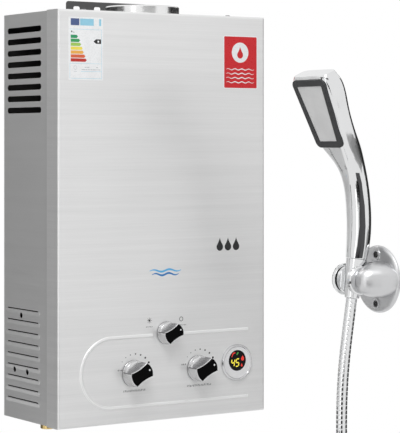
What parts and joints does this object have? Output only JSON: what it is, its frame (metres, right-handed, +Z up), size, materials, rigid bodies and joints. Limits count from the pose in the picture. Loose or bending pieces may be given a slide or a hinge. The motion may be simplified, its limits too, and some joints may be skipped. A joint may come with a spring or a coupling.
{
  "type": "gas water heater",
  "caption": "Wall-hung instantaneous gas water heater with flue socket, turning gas, water and season controls, battery door, and a hand shower in a side-wall holder with its hose.",
  "frame": {"origin": "middle of the row of hanger slots, on the wall plane", "axes": "+Z up, the heater faces -Y, +X to the right of someone facing it"},
  "size_m": [0.4077, 0.429, 0.8395],
  "materials": {
    "cover_steel": "satin brushed silver",
    "casing_steel": "silver paint",
    "zinc_steel": "zinc plated",
    "collar_steel": "galvanised",
    "copper": "bare copper",
    "brass": "bare brass",
    "cast_aluminium": "as cast",
    "diaphragm_rubber": "matte",
    "black_plastic": "satin",
    "silver_plastic": "silver plated",
    "display_window": "gloss",
    "ceramic_white": "glazed",
    "cell_jacket": "gloss",
    "wire_jacket": "matte",
    "plated_plastic": "chrome plated",
    "hose_metal": "chrome plated, ribbed",
    "dark_grey_plastic": "satin",
    "light_grey_plastic": "satin"
  },
  "bodies": {
    "heater": {"rear_casing": "casing_steel", "front_cover": "cover_steel", "cover_screws": "zinc_steel", "wall_hanger": "zinc_steel", "flue_collar": "collar_steel", "flue_hood": "zinc_steel", "exchanger_shell": "copper", "exchanger_fins": "copper", "exchanger_tube": "copper", "exchanger_brackets": "zinc_steel", "burner_tray": "zinc_steel", "burner_bars": "zinc_steel", "gas_manifold": "cast_aluminium", "gas_injectors": "brass", "electrodes": "ceramic_white", "gas_valve_body": "cast_aluminium", "gas_solenoid": "zinc_steel", "gas_inlet": "brass", "season_valve": "cast_aluminium", "gas_riser": "cast_aluminium", "water_valve_cover": "brass", "diaphragm": "diaphragm_rubber", "water_valve_body": "brass", "diaphragm_screws": "zinc_steel", "valve_standoffs": "zinc_steel", "flow_switch": "black_plastic", "water_unions": "brass", "display_bezel": "silver_plastic", "display_lens": "display_window", "display_housing": "black_plastic", "battery_box": "black_plastic", "battery_cells": "cell_jacket", "ignition_controller": "black_plastic", "wiring": "wire_jacket", "holder_plate": "plated_plastic", "holder_screws": "zinc_steel"},
    "gas_control": {"gas_knob": "silver_plastic", "gas_knob_face": "black_plastic", "gas_spindle": "brass"},
    "water_control": {"water_knob": "silver_plastic", "water_knob_face": "black_plastic", "water_spindle": "brass"},
    "season_control": {"selector_knob": "silver_plastic", "selector_knob_face": "black_plastic", "selector_spindle": "brass"},
    "flow_rod": {"push_rod": "zinc_steel"},
    "battery_door": {"battery_lid": "black_plastic"},
    "cradle": {"shower_cradle": "plated_plastic", "cradle_cap": "plated_plastic", "pivot_screw": "zinc_steel"},
    "handset": {"handset_front_shell": "plated_plastic", "handset_back_shell": "plated_plastic", "spray_frame": "dark_grey_plastic", "spray_plate": "light_grey_plastic", "handset_inlays": "dark_grey_plastic", "hose_cone_nut": "plated_plastic", "hose_tube": "hose_metal", "hose_coil": "hose_metal", "hose_end_nut": "plated_plastic", "hose_tie": "black_plastic"}
  },
  "joints": [
    {"name": "gas_knob_turn", "type": "hinge", "parent": "heater", "child": "gas_control", "pos_m": [-0.054, -0.15, -0.5335], "axis": [0, -1, 0], "range_deg": [0, 150]},
    {"name": "water_knob_turn", "type": "hinge", "parent": "heater", "child": "water_control", "pos_m": [0.0575, -0.15, -0.5335], "axis": [0, -1, 0], "range_deg": [0, 150]},
    {"name": "season_knob_turn", "type": "hinge", "parent": "heater", "child": "season_control", "pos_m": [0.0025, -0.15, -0.4785], "axis": [0, -1, 0], "range_deg": [0, 115]},
    {"name": "flow_rod_slide", "type": "slide", "parent": "heater", "child": "flow_rod", "axis": [-1, 0, 0], "range_m": [0, 0.004], "stiffness_N_per_m": 500},
    {"name": "battery_door_hinge", "type": "hinge", "parent": "heater", "child": "battery_door", "pos_m": [0.124, -0.0618, -0.6031], "axis": [1, 0, 0], "range_deg": [0, 90]},
    {"name": "cradle_swivel", "type": "hinge", "parent": "heater", "child": "cradle", "pos_m": [0.19, -0.365, -0.397], "axis": [0, -1, 0], "range_deg": [-6, 9]},
    {"name": "handset_lift", "type": "slide", "parent": "cradle", "child": "handset", "axis": [0.1564, 0, 0.9877], "range_m": [0, 0.06]}
  ]
}
